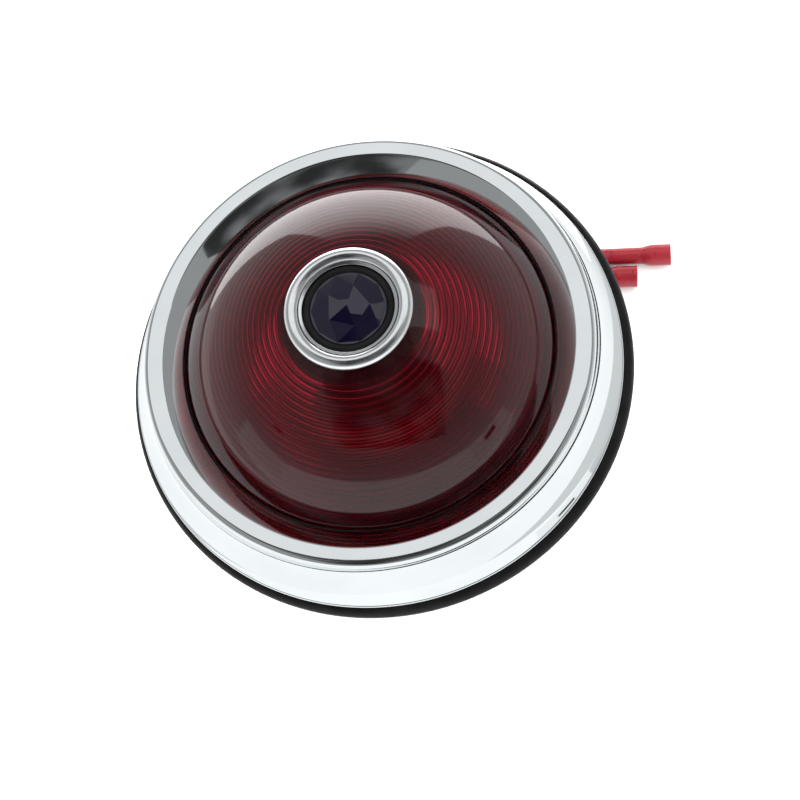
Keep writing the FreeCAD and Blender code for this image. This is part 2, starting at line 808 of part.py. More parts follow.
def lathe_x(start, *steps):
    """A lathed shape whose outline's z becomes x."""
    shape = lathe(start, *steps)
    shape.rotate(ORIGIN, vec(0, 1, 0), 90)
    return shape


def connector(place):
    """Insulating sleeve of a butt connector, with flared ends. It runs from x = -length to 0."""
    bell_l = 4.6
    flare_l = 2.0
    far = -CONNECTOR_L
    bell_bore = BELL_R - BELL_WALL
    sleeve = lathe_x(
        (BELL_R, 0),
        (BELL_R, -bell_l),
        (SLEEVE_R, -bell_l - flare_l),
        (SLEEVE_R, far + bell_l + flare_l),
        (BELL_R, far + bell_l),
        (BELL_R, far),
        (bell_bore, far),
        (bell_bore, far + bell_l),
        (SLEEVE_BORE_R, far + (CONNECTOR_L - BARREL_L) / 2),
        (SLEEVE_BORE_R, -(CONNECTOR_L - BARREL_L) / 2),
        (bell_bore, -bell_l),
        (bell_bore, 0),
    )
    return along_connector(sleeve, place)


def barrel(place):
    """Crimp barrel inside the sleeve, with a wire stop in the middle."""
    gap = (CONNECTOR_L - BARREL_L) / 2
    middle = -CONNECTOR_L / 2
    tube = lathe_x(
        (SLEEVE_BORE_R, -gap),
        (SLEEVE_BORE_R, gap - CONNECTOR_L),
        (BARREL_BORE_R, gap - CONNECTOR_L),
        (BARREL_BORE_R, middle - 0.4),
        (0.3, middle),
        (BARREL_BORE_R, middle + 0.4),
        (BARREL_BORE_R, -gap),
    )
    return along_connector(tube, place)


def stripped_end(place):
    """Bare strands of a lead, inside the barrel."""
    start = (CONNECTOR_L - BARREL_L) / 2 - CONNECTOR_L
    bar = Part.makeCylinder(STRAND_R, STRIPPED_L, vec(start, 0, 0), vec(1, 0, 0))
    return along_connector(bar, place)


NODES = {
    "bezel": bezel(),
    "lens": lens(),
    "lens_seal": lens_seal(),
    "bucket": bucket(),
    "bucket_gasket": bucket_gasket(),
    "bucket_screws": bucket_screws(),
    "bucket_washers": bucket_washers(),
    "mounting_pad": mounting_pad(),
    "mounting_studs": mounting_studs(),
    "stud_washers": stud_washers(),
    "stud_lock_washers": stud_lock_washers(),
    "stud_nuts": stud_nuts(),
    "dot_ring": dot_ring(),
    "dot_gasket": dot_gasket(),
    "dot_seal": dot_seal(),
    "dot_crystal": dot_crystal(),
    "dot_circlip": dot_circlip(),
    "dot_washer": dot_washer(),
    "dot_nut": dot_nut(),
    "socket_shell": socket_shell(),
    "socket_rivets": socket_rivets(),
    "socket_insulator": socket_insulator(),
    "wire_grommet": wire_grommet(),
    "contact_disc": contact_disc(),
    "contact_rivets": contact_rivets(),
    "plunger_spring": plunger_spring(),
    "bulb_globe": bulb_globe(),
    "bulb_base": bulb_base(),
    "bulb_pins": bulb_pins(),
    "bulb_insulator": bulb_insulator(),
    "bulb_contacts": bulb_contacts(),
    "bulb_stem": bulb_stem(),
    "filament_supports": filament_supports(),
    "tail_filament": filament(TAIL_FILAMENT, 0.25),
    "brake_filament": filament(BRAKE_FILAMENT, 0.35),
    "tail_lead": lead("tail_lead", TAIL_ROUTE),
    "brake_lead": lead("brake_lead", BRAKE_ROUTE),
    "tail_connector": connector(TAIL_CONNECTOR),
    "brake_connector": connector(BRAKE_CONNECTOR),
    "tail_barrel": barrel(TAIL_CONNECTOR),
    "brake_barrel": barrel(BRAKE_CONNECTOR),
    "stripped_ends": group([stripped_end(TAIL_CONNECTOR), stripped_end(BRAKE_CONNECTOR)]),
}

os.makedirs("parts", exist_ok=True)
for node, shape in NODES.items():
    print(node, "solids", len(shape.Solids), "valid", shape.isValid(), "volume %.1f" % shape.Volume)
    shape.exportStep("parts/" + node + ".step")
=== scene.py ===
import json
import math
import bmesh
import bpy
from mathutils import Matrix, Vector


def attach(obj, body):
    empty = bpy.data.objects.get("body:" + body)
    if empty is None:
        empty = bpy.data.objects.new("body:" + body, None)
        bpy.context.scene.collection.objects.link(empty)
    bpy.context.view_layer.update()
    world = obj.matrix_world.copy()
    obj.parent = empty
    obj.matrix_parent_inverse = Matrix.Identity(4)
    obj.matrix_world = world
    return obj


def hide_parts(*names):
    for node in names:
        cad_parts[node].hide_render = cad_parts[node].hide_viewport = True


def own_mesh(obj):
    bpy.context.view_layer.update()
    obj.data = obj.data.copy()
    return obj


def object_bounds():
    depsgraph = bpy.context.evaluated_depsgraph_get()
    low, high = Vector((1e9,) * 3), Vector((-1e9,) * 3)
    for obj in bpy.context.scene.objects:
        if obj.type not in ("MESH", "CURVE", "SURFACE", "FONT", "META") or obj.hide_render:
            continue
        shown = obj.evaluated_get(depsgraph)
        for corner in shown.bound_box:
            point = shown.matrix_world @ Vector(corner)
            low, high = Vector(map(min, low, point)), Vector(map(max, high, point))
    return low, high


# Round tail light lying on its back. The lamp's lengths and the camera's place are in millimetres, and MM
# turns them into the frame's metres. The rest of the studio is in metres. Z is the lens axis, and the floor
# is under the studs.

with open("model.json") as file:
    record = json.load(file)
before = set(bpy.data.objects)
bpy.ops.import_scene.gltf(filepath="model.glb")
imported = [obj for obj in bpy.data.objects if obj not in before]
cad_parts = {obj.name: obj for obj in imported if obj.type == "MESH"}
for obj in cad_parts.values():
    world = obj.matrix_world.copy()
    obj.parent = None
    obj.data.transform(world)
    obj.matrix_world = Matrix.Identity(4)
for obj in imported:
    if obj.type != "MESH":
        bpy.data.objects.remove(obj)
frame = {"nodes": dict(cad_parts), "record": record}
cad_low, cad_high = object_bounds()

MM = 0.001
NODES = frame["nodes"]
RECORD = frame["record"]
SLOT_OF = {part["node"]: part["material_slot"] for part in RECORD["subparts"]}
BODY_OF = {node: body for body, members in RECORD["behaviour"]["bodies"].items() for node in members}
FLOOR_Z = cad_low.z / MM

# Dimensions of the pieces, as in the CAD model, and the form of the studs' thread
PAD_R = 53.3
PAD_SHIFT_X = 0.45  # how far the pad's outline lies off the lens axis
PAD_BORE_R = 37.5
PAD_T = 3.6
PAD_HOLE_R = 4.0
SKIRT_R = 51.7
SKIRT_T = 1.6
FILLET_R = 46.6
FILLET_Z = 16.0
BEAD_R = 42.6
BEAD_Z = 17.1
CROWN_Z = 17.25
RIM_R = 45.2
RIM_Z = 17.28
LIP_R = 38.6
LIP_Z = 14.6
LIP_UNDER_Z = 13.5
RECESS_R = 41.2
FLANGE_Z = 7.6
BOSS_R = 3.2
BOSS_TOP_Z = 12.8
DOME_R = 43.4
DOME_Z = -6.3
GLASS_T = 4.2
LENS_FLANGE_R = 40.9
LENS_FLANGE_LOW = 9.6
LENS_FLANGE_TOP = 12.9
PRISM_RINGS = 22
PRISM_H = 0.8
DOT_HOLE_R = 10.6
DOT_SEAT_R = 12.4
DOT_SEAT_Z = 35.0
DOT_BACK_R = 13.9
DOT_BACK_Z = 30.4
DOT_RING_R = 12.7
DOT_EDGE_R = 9.05
RING_UNDER_Z = 35.4
COLLAR_R = 10.3
COLLAR_BORE_R = 9.3
COLLAR_LOW = 27.2
CRYSTAL_R = 7.5
CRYSTAL_Z = 35.5
CRYSTAL_STEP_Z = 34.6
CRYSTAL_RIM_LOW = 33.6
CRYSTAL_BACK_Z = 32.4
GIRDLE_R = 7.3
GIRDLE_H = 0.3
STAR_R = 4.4
STAR_Z = 36.65
APEX_Z = 37.2
FACET_FOLDS = 5
FACET_TURN_DEG = 74.0  # direction of the first star point
STUD_PCD_R = 44.0
STUD_ANGLES = (90, 210, 330)
SCREW_ANGLES = (30, 150, 270)
THREAD_CREST_R = 2.5
THREAD_DEPTH = 0.42
THREAD_PITCH = 0.8
SHOULDER_R = 2.5
SHOULDER_END_Z = -2.0
COLLAR_SEAT_R = 3.0  # collar that seats on the bezel's boss
COLLAR_SEAT_Z = 5.4
STUD_TOP_Z = 12.2
BUCKET_R = 46.8
BUCKET_FLOOR_Z = -9.0
STUD_HOLE_R = 3.8
SCREW_HOLE_R = 2.2
SHEET_T = 0.9
SHELL_R = 8.5
WIRE_R = 1.1
LEAD_Z = FLOOR_Z + WIRE_R
BELL_R = 2.45
BELL_WALL = 0.5
SLEEVE_R = 1.95
SLEEVE_BORE_R = 1.5
CONNECTOR_L = 25.0
BARREL_L = 15.0
BARREL_BORE_R = 1.0
STRIPPED_L = 6.2
CONNECTOR_Z = FLOOR_Z + BELL_R
TAIL_CONNECTOR = (63.4, 36.2, -1.2)  # x and y of its outer end, and its heading in degrees
BRAKE_CONNECTOR = (55.5, 31.2, -2.5)


# Mesh helpers

ON_AXIS_R = 1e-6  # a point nearer than this to the lens axis is on it


def polar(radius, angle_deg):
    angle = math.radians(angle_deg)
    return radius * math.cos(angle), radius * math.sin(angle)


def arc_points(start, through, end, step_deg):
    """Points on the arc from start, which is left out, through a middle point to end."""
    (x1, y1), (x2, y2), (x3, y3) = start, through, end
    double_area = 2 * (x1 * (y2 - y3) + x2 * (y3 - y1) + x3 * (y1 - y2))
    s1, s2, s3 = x1 ** 2 + y1 ** 2, x2 ** 2 + y2 ** 2, x3 ** 2 + y3 ** 2
    cx = (s1 * (y2 - y3) + s2 * (y3 - y1) + s3 * (y1 - y2)) / double_area
    cy = (s1 * (x3 - x2) + s2 * (x1 - x3) + s3 * (x2 - x1)) / double_area
    radius = math.hypot(x1 - cx, y1 - cy)
    first = math.atan2(y1 - cy, x1 - cx)
    middle = (math.atan2(y2 - cy, x2 - cx) - first) % math.tau
    sweep = (math.atan2(y3 - cy, x3 - cx) - first) % math.tau
    if middle > sweep:
        sweep -= math.tau
    count = max(2, math.ceil(abs(math.degrees(sweep)) / step_deg))
    turns = [first + sweep * i / count for i in range(1, count + 1)]
    return [(cx + radius * math.cos(a), cy + radius * math.sin(a)) for a in turns]


def profile(start, *steps, step_deg=3.0):
    """Outline points. A step is (r, z), a line, or ((r, z), (r, z)), an arc through a point to its end."""
    points = [start]
    for step in steps:
        if isinstance(step[0], tuple):
            points += arc_points(points[-1], step[0], step[1], step_deg)
        else:
            points.append(step)
    return points


def softened(points, size, sharper_than_deg=22.0):
    """The closed outline with its sharp corners rounded over about size, but not those on the axis."""
    most = 0.42  # share of a side that one corner's rounding may take up
    rounded = []
    count = len(points)
    for i, corner in enumerate(points):
        here = Vector(corner)
        back = Vector(points[i - 1]) - here
        ahead = Vector(points[(i + 1) % count]) - here
        turn = 180 - math.degrees(back.angle(ahead, math.pi))
        if corner[0] < ON_AXIS_R or turn < sharper_than_deg:
            rounded.append(corner)
            continue
        cut = min(size, most * back.length, most * ahead.length)
        enter = here + back.normalized() * cut
        leave = here + ahead.normalized() * cut
        for t in (0.0, 0.25, 0.5, 0.75, 1.0):
            rounded.append(tuple(enter * (1 - t) ** 2 + here * 2 * t * (1 - t) + leave * t ** 2))
    return rounded


def add_lathe(bm, points, segments):
    """Turns a closed outline of (r, z) points about Z, as one closed skin."""
    rings = []
    for r, z in points:
        if r < ON_AXIS_R:
            rings.append([bm.verts.new((0, 0, z))])
            continue
        places = [polar(r, 360 * i / segments) for i in range(segments)]
        rings.append([bm.verts.new((x, y, z)) for x, y in places])
    for ring, after in zip(rings, rings[1:] + rings[:1]):
        if len(ring) == len(after) == 1:
            continue
        for i in range(segments):
            j = (i + 1) % segments
            corners = (ring[i % len(ring)], ring[j % len(ring)], after[j % len(after)], after[i % len(after)])
            bm.faces.new(list(dict.fromkeys(corners)))


def finished_mesh(name, bm, sharp_deg=35.0):
    """The bmesh in metres, with its normals outward and smooth shading up to sharp_deg."""
    bmesh.ops.recalc_face_normals(bm, faces=bm.faces)
    bmesh.ops.scale(bm, vec=(MM, MM, MM), verts=bm.verts)
    mesh = bpy.data.meshes.new(name)
    bm.to_mesh(mesh)
    bm.free()
    mesh.polygons.foreach_set("use_smooth", [True] * len(mesh.polygons))
    mesh.set_sharp_from_angle(angle=math.radians(sharp_deg))
    return mesh


def lathe(name, points, segments, sharp_deg=35.0):
    bm = bmesh.new()
    add_lathe(bm, points, segments)
    return finished_mesh(name, bm, sharp_deg)


def add_disc(bm, radius, low, high, x=0.0, y=0.0, segments=32):
    """A closed cylinder with its axis along Z."""
    centre = Matrix.Translation((x, y, (low + high) / 2))
    bmesh.ops.create_cone(
        bm, cap_ends=True, segments=segments, radius1=radius, radius2=radius, depth=high - low, matrix=centre
    )


def add_object(name, data):
    obj = bpy.data.objects.new(name, data)
    bpy.context.scene.collection.objects.link(obj)
    return obj


def cut_away(mesh, cutter_bm):
    """The mesh with the cutter's closed shapes taken out of it."""
    body = add_object("cut_body", mesh)
    tool = add_object("cut_tool", finished_mesh("cut_tool", cutter_bm))
    cut = body.modifiers.new("cut", "BOOLEAN")
    cut.operation = "DIFFERENCE"
    cut.solver = "EXACT"
    cut.object = tool
    depsgraph = bpy.context.evaluated_depsgraph_get()
    result = bpy.data.meshes.new_from_object(body.evaluated_get(depsgraph), depsgraph=depsgraph)
    for obj in (body, tool):
        bpy.data.objects.remove(obj)
    return result


def add_tube(bm, centres, sides_a, sides_b, radius, sides):
    """A round wire through centres. sides_a and sides_b are the unit vectors across it at each centre."""
    rings = []
    for centre, a, b in zip(centres, sides_a, sides_b):
        places = [polar(radius, 360 * k / sides) for k in range(sides)]
        rings.append([bm.verts.new(centre + a * u + b * v) for u, v in places])
    for ring, after in zip(rings, rings[1:]):
        for k in range(sides):
            bm.faces.new((ring[k], ring[k - 1], after[k - 1], after[k]))
    bm.faces.new(rings[0])
    bm.faces.new(rings[-1])


def add_coil(bm, radius, wire_r, low, high, turns, steps, sides=12, start_deg=0.0):
    """A helical wire about Z, its centre line rising from low to high in that many steps a turn."""
    count = round(turns * steps)
    rise = (high - low) / math.radians(360 * turns)
    centres, outward, across = [], [], []
    for i in range(count + 1):
        angle_deg = start_deg + 360 * turns * i / count
        x, y = polar(1.0, angle_deg)
        out = Vector((x, y, 0))
        along = Vector((-y * radius, x * radius, rise)).normalized()
        centres.append(out * radius + Vector((0, 0, low + (high - low) * i / count)))
        outward.append(out)
        across.append(along.cross(out))
    add_tube(bm, centres, outward, across, wire_r, sides)


def show(name, node, mesh_or_curve, finish=None):
    """A piece that stands for a CAD node. It rides on the node's body, and its look is finish or, without
    that, its slot's."""
    obj = add_object(name, mesh_or_curve)
    mesh_or_curve.materials.clear()
    mesh_or_curve.materials.append(finish or LOOKS[SLOT_OF[node]])
    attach(obj, BODY_OF[node])
    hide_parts(node)
    return obj


# Materials

NOISE_RANGE = (0.3, 0.7)  # where most of a noise texture's values lie


def noise_at(tree, coordinates, size, detail=3.0, roughness=0.5):
    """A noise texture whose features are about size mm across."""
    noise = tree.nodes.new("ShaderNodeTexNoise")
    noise.inputs["Scale"].default_value = 1 / (size * MM)
    noise.inputs["Detail"].default_value = detail
    noise.inputs["Roughness"].default_value = roughness
    tree.links.new(coordinates, noise.inputs["Vector"])
    return noise.outputs["Fac"]


def mapped(tree, value, source, target, curve="LINEAR"):
    """The value, moved from the range source to the range target."""
    ranges = tree.nodes.new("ShaderNodeMapRange")
    ranges.interpolation_type = curve
    for socket, number in zip(("From Min", "From Max", "To Min", "To Max"), (*source, *target)):
        ranges.inputs[socket].default_value = number
    tree.links.new(value, ranges.inputs["Value"])
    return ranges.outputs["Result"]


def spun_coordinates(tree, position):
    """Coordinates that are the same all the way round the lens axis, for turned and spun marks."""
    flat = tree.nodes.new("ShaderNodeVectorMath")
    flat.operation = "MULTIPLY"
    flat.inputs[1].default_value = (1, 1, 0)
    length = tree.nodes.new("ShaderNodeVectorMath")
    length.operation = "LENGTH"
    split = tree.nodes.new("ShaderNodeSeparateXYZ")
    join = tree.nodes.new("ShaderNodeCombineXYZ")
    tree.links.new(position, flat.inputs[0])
    tree.links.new(flat.outputs[0], length.inputs[0])
    tree.links.new(position, split.inputs[0])
    tree.links.new(length.outputs["Value"], join.inputs["X"])
    tree.links.new(split.outputs["Z"], join.inputs["Z"])
    return join.outputs[0]


def look(name, dark, light, rough, patch, grain, bump, metallic=0.0, spun=False, **sockets):
    """A procedural finish. Colour runs from dark to light in patches of about patch mm, and roughness over
    the pair rough in smaller ones. bump is the height in mm of a relief whose grain is grain mm across. spun
    makes them all run round the lens axis. sockets sets the shader's other inputs, with _ for a space."""
    material = bpy.data.materials.new(name)
    material.use_nodes = True
    tree = material.node_tree
    shader = tree.nodes["Principled BSDF"]
    shader.inputs["Metallic"].default_value = metallic
    for socket, value in sockets.items():
        shader.inputs[socket.replace("_", " ")].default_value = value
    position = tree.nodes.new("ShaderNodeTexCoord").outputs["Object"]
    coordinates = spun_coordinates(tree, position) if spun else position

    patches = noise_at(tree, coordinates, patch)
    colours = tree.nodes.new("ShaderNodeValToRGB")
    for stop, place, colour in zip(colours.color_ramp.elements, NOISE_RANGE, (dark, light)):
        stop.position = place
        stop.color = (*colour, 1)
    tree.links.new(patches, colours.inputs["Fac"])
    tree.links.new(colours.outputs["Color"], shader.inputs["Base Color"])

    sheen_patch = 0.3 * patch
    roughness = mapped(tree, noise_at(tree, coordinates, sheen_patch), NOISE_RANGE, rough)
    tree.links.new(roughness, shader.inputs["Roughness"])

    relief = tree.nodes.new("ShaderNodeBump")
    relief.inputs["Distance"].default_value = bump * MM
    relief.inputs["Strength"].default_value = 1.0
    tree.links.new(noise_at(tree, coordinates, grain, detail=2.0), relief.inputs["Height"])
    tree.links.new(relief.outputs["Normal"], shader.inputs["Normal"])
    return material


LOOKS = {
    "chrome": look(
        "chrome_plate", (0.71, 0.75, 0.765), (0.76, 0.80, 0.815), (0.03, 0.06), patch=14, grain=5, bump=0.003,
        metallic=1.0),
    "soft_chrome": look(
        "soft_chrome_plate", (0.76, 0.79, 0.80), (0.82, 0.85, 0.86), (0.15, 0.22), patch=4, grain=1.5,
        bump=0.002, metallic=1.0),
    "red_glass": look(
        "red_lens_glass", (0.36, 0.004, 0.022), (0.42, 0.006, 0.030), (0.05, 0.08), patch=20, grain=9,
        bump=0.004, IOR=1.5, Transmission_Weight=0.98),
    "blue_glass": look(
        "blue_cut_glass", (0.0010, 0.0006, 0.005), (0.0018, 0.0010, 0.008), (0.01, 0.04), patch=4, grain=2,
        bump=0.001, IOR=1.6),
    "clear_glass": look(
        "bulb_glass", (0.93, 0.95, 0.95), (0.97, 0.98, 0.98), (0.0, 0.02), patch=6, grain=4, bump=0.002,
        IOR=1.48, Transmission_Weight=1.0),
    "black_glass": look(
        "bulb_base_glass", (0.008, 0.008, 0.01), (0.02, 0.02, 0.024), (0.08, 0.25), patch=2, grain=0.6,
        bump=0.01),
    "rubber": look(
        "moulded_rubber", (0.003, 0.003, 0.0035), (0.006, 0.006, 0.0065), (0.34, 0.5), patch=5, grain=0.16,
        bump=0.008, Specular_IOR_Level=0.15),
    "reflector": look(
        "plated_reflector", (0.15, 0.15, 0.16), (0.20, 0.20, 0.21), (0.45, 0.58), patch=6, grain=0.35,
        bump=0.004, metallic=1.0, spun=True),
    "zinc_steel": look(
        "zinc_plate", (0.48, 0.50, 0.53), (0.66, 0.67, 0.68), (0.22, 0.42), patch=1.6, grain=0.12, bump=0.003,
        metallic=1.0),
    "spring_steel": look(
        "spring_steel", (0.30, 0.31, 0.33), (0.44, 0.45, 0.46), (0.28, 0.45), patch=1.2, grain=0.1,
        bump=0.003, metallic=1.0),
    "brass": look(
        "drawn_brass", (0.55, 0.38, 0.14), (0.78, 0.58, 0.27), (0.16, 0.36), patch=2.4, grain=0.15,
        bump=0.003, metallic=1.0),
    "solder": look(
        "solder", (0.42, 0.42, 0.43), (0.62, 0.62, 0.62), (0.25, 0.5), patch=0.8, grain=0.4, bump=0.03,
        metallic=1.0),
    "phenolic": look(
        "phenolic_board", (0.10, 0.045, 0.02), (0.20, 0.10, 0.05), (0.32, 0.5), patch=0.9, grain=0.2,
        bump=0.008),
    "fibre": look(
        "vulcanised_fibre", (0.22, 0.07, 0.04), (0.34, 0.12, 0.07), (0.55, 0.75), patch=1.2, grain=0.15,
        bump=0.01),
    "nickel_wire": look(
        "nickel_wire", (0.42, 0.41, 0.39), (0.58, 0.56, 0.53), (0.2, 0.36), patch=1.0, grain=0.1, bump=0.002,
        metallic=1.0),
    "tungsten": look(
        "tungsten_wire", (0.16, 0.16, 0.17), (0.30, 0.30, 0.31), (0.35, 0.5), patch=0.4, grain=0.05,
        bump=0.001, metallic=1.0),
    "red_vinyl": look(
        "translucent_vinyl", (0.28, 0.006, 0.016), (0.33, 0.012, 0.025), (0.26, 0.38), patch=6, grain=2.5,
        bump=0.002, IOR=1.5, Transmission_Weight=0.2, Subsurface_Weight=0.5, Subsurface_Scale=0.0015),
    "black_pvc": look(
        "black_wire_cover", (0.012, 0.012, 0.012), (0.022, 0.022, 0.023), (0.30, 0.42), patch=2, grain=0.3,
        bump=0.004),
    "red_pvc": look(
        "red_wire_cover", (0.42, 0.012, 0.014), (0.52, 0.02, 0.022), (0.28, 0.40), patch=2, grain=0.3,
        bump=0.004),
    "tinned_copper": look(
        "tin_plate", (0.55, 0.54, 0.52), (0.70, 0.69, 0.66), (0.2, 0.4), patch=1.0, grain=0.12, bump=0.003,
        metallic=1.0),
    "copper": look(
        "copper_strands", (0.62, 0.26, 0.13), (0.80, 0.42, 0.26), (0.2, 0.35), patch=0.5, grain=0.08,
        bump=0.002, metallic=1.0),
}


# Bezel and pad

def bezel_mesh():
    """Bead, inner cone and flared skirt with a rounded edge, and six bosses behind."""
    edge_r = SKIRT_R - 0.3
    recess_wall_r = RECESS_R + 2.0
    boss_r = BOSS_R - 0.6  # slimmer than in CAD, where the skirt's wall trims the bosses
    outline = profile(
        (LIP_R, LIP_Z),
        (BEAD_R, BEAD_Z),
        ((BEAD_R + 1.4, CROWN_Z), (RIM_R, RIM_Z)),
        ((RIM_R + 0.9, RIM_Z - 0.33), (FILLET_R, FILLET_Z)),
        ((FILLET_R + 1.4, 9.6), (edge_r, 4.5)),
        ((SKIRT_R, 4.0), (edge_r, PAD_T)),
        (SKIRT_R - SKIRT_T, PAD_T),
        ((FILLET_R - 0.2, 9.2), (FILLET_R - 1.4, BOSS_TOP_Z)),
        (recess_wall_r, BOSS_TOP_Z),
        (recess_wall_r, FLANGE_Z),
        (RECESS_R, FLANGE_Z),
        (RECESS_R, LIP_UNDER_Z),
        (LIP_R + 0.3, LIP_UNDER_Z),
    )
    bm = bmesh.new()
    add_lathe(bm, softened(outline, 0.3), 288)
    for angle in STUD_ANGLES + SCREW_ANGLES:
        x, y = polar(STUD_PCD_R, angle)
        add_disc(bm, boss_r, FLANGE_Z + 0.05, BOSS_TOP_Z + 0.1, x, y)
    return finished_mesh("bezel_chrome", bm, sharp_deg=40)


def pad_mesh():
    """Flat ring with a bulging edge and a low rib inside the skirt, holed for the studs."""
    edge_r = PAD_R - 1.1
    rib_r = 48.2
    rib_top = PAD_T + 1.0
    outline = profile(
        (PAD_BORE_R, 0.0),
        (edge_r, 0.0),
        ((PAD_R, 2.0), (edge_r, PAD_T)),
        (rib_r + 1.2, PAD_T),
        (rib_r + 0.8, rib_top),
        (rib_r, rib_top),
        (rib_r, PAD_T),
        (PAD_BORE_R, PAD_T),
    )
    holes = bmesh.new()
    for angle in STUD_ANGLES:
        x, y = polar(STUD_PCD_R, angle)
        add_disc(holes, PAD_HOLE_R, -1, PAD_T + 2, x, y, segments=48)
    pad = lathe("pad_rubber", softened(outline, 0.35), 240)
    pad.transform(Matrix.Translation((PAD_SHIFT_X * MM, 0, 0)))
    return cut_away(pad, holes)


# Lens

def dome_r(z, radius=DOME_R):
    return math.sqrt(radius ** 2 - (z - DOME_Z) ** 2)


def dome_point(radius, angle_deg):
    """(r, z) on a sphere about the dome's centre, at an angle from the lens axis."""
    r, z = polar(radius, 90 - angle_deg)
    return r, DOME_Z + z


def lens_mesh():
    """Dome on a flange, with a flat seat round its centre hole and prism rings on its inner face."""
    mid_dome_deg = 42
    ridge_at = 0.75  # where a prism's ridge stands, as a share of its width
    plain_deg = 1.0  # left smooth above the foot
    inner = DOME_R - GLASS_T
    foot_r = dome_r(LENS_FLANGE_LOW, inner)
    first = math.degrees(math.asin(DOT_BACK_R / inner))
    last = math.degrees(math.asin(foot_r / inner)) - plain_deg
    step = (last - first) / PRISM_RINGS
    prisms = []
    for i in range(PRISM_RINGS):
        prisms.append(dome_point(inner, first + i * step))
        prisms.append(dome_point(inner - PRISM_H, first + (i + ridge_at) * step))
    prisms.append(dome_point(inner, last))
    crown = (DOT_SEAT_R, DOME_Z + math.sqrt(DOME_R ** 2 - DOT_SEAT_R ** 2))
    outline = profile(
        (DOT_HOLE_R, DOT_SEAT_Z),
        (DOT_SEAT_R, DOT_SEAT_Z),
        crown,
        (dome_point(DOME_R, mid_dome_deg), (dome_r(LENS_FLANGE_TOP), LENS_FLANGE_TOP)),
        (LENS_FLANGE_R, LENS_FLANGE_TOP),
        (LENS_FLANGE_R, LENS_FLANGE_LOW),
        (foot_r, LENS_FLANGE_LOW),
        *reversed(prisms),
        (DOT_BACK_R, DOT_BACK_Z),
        (DOT_HOLE_R, DOT_BACK_Z),
        step_deg=1.5,
    )
    return lathe("lens_glass", softened(outline, 0.25), 288, sharp_deg=30)


def lens_seal_mesh():
    """Flat ring on the lens flange, with a lip that fills the gap between the lens and the bezel."""
    lip_top = LIP_Z - 0.4
    outer_r = RECESS_R - 0.1
    gap = 0.05
    outline = [
        (dome_r(LENS_FLANGE_TOP) + gap, LENS_FLANGE_TOP),
        (outer_r, LENS_FLANGE_TOP),
        (outer_r, LIP_UNDER_Z),
        (LIP_R + 0.2, LIP_UNDER_Z),
        (LIP_R, lip_top),
        (dome_r(lip_top) + gap, lip_top),
        (dome_r(LIP_UNDER_Z) + gap, LIP_UNDER_Z),
    ]
    return lathe("lens_seal_rubber", softened(outline, 0.12), 240)


# Dot

def dot_ring_mesh():
    """Rounded rim on a collar that goes through the lens."""
    crest = (11.6, 36.75)
    inner_slope = (9.7, 35.95)
    edge_z = 35.75
    outline = profile(
        (DOT_RING_R, RING_UNDER_Z),
        (crest, inner_slope),
        (DOT_EDGE_R, edge_z),
        (DOT_EDGE_R, CRYSTAL_STEP_Z),
        (COLLAR_BORE_R, CRYSTAL_STEP_Z),
        (COLLAR_BORE_R, COLLAR_LOW),
        (COLLAR_R, COLLAR_LOW),
        (COLLAR_R, RING_UNDER_Z),
    )
    return lathe("dot_ring_chrome", softened(outline, 0.16), 192, sharp_deg=40)


def dot_seal_mesh():
    """Ring with a rounded top, in the gap between the crystal and its chrome ring."""
    inner = (CRYSTAL_R + 0.05, 35.4)
    outer = (DOT_EDGE_R - 0.05, 35.3)
    crest = (8.3, 35.75)
    outline = profile(
        (inner[0], CRYSTAL_STEP_Z),
        (outer[0], CRYSTAL_STEP_Z),
        outer,
        (crest, inner),
    )
    return lathe("dot_seal_rubber", softened(outline, 0.1), 144)


def add_corners(bm, radius, count, z):
    places = [polar(radius, FACET_TURN_DEG + i * 360 / count) for i in range(count)]
    return [bm.verts.new((x, y, z)) for x, y in places]


def dot_crystal_mesh():
    """Rose-cut crown on a ten-sided girdle, over a round foot with a rim."""
    sides = 2 * FACET_FOLDS
    bm = bmesh.new()
    apex = bm.verts.new((0, 0, APEX_Z))
    star = add_corners(bm, STAR_R, FACET_FOLDS, STAR_Z)
    girdle = add_corners(bm, GIRDLE_R, sides, CRYSTAL_Z)
    foot = add_corners(bm, GIRDLE_R, sides, CRYSTAL_Z - GIRDLE_H)
    for i in range(FACET_FOLDS):
        here, after = star[i], star[(i + 1) % FACET_FOLDS]
        left, middle, right = girdle[2 * i], girdle[2 * i + 1], girdle[(2 * i + 2) % sides]
        bm.faces.new((apex, here, after))
        bm.faces.new((here, middle, after))
        bm.faces.new((here, left, middle))
        bm.faces.new((after, middle, right))
    for i in range(sides):
        bm.faces.new((girdle[i - 1], girdle[i], foot[i], foot[i - 1]))
    bm.faces.new(foot)
    bmesh.ops.bevel(
        bm, geom=bm.edges[:], offset=0.05, offset_type="OFFSET", segments=2, affect="EDGES", profile=0.5
    )
    foot_top_z = CRYSTAL_Z - 0.05
    rim_r = COLLAR_BORE_R - 0.1
    belly_r = 8.0
    mid_belly = (5.4, 32.75)
    flat_r = 2.5
    outline = profile(
        (0.0, foot_top_z),
        (CRYSTAL_R, foot_top_z),
        (CRYSTAL_R, CRYSTAL_STEP_Z),
        (rim_r, CRYSTAL_STEP_Z),
        (rim_r, CRYSTAL_RIM_LOW),
        (belly_r, CRYSTAL_RIM_LOW),
        (mid_belly, (flat_r, CRYSTAL_BACK_Z)),
        (0.0, CRYSTAL_BACK_Z),
    )
    add_lathe(bm, softened(outline, 0.1), 96)
    return finished_mesh("dot_crystal_glass", bm, sharp_deg=4)


# Bucket and studs

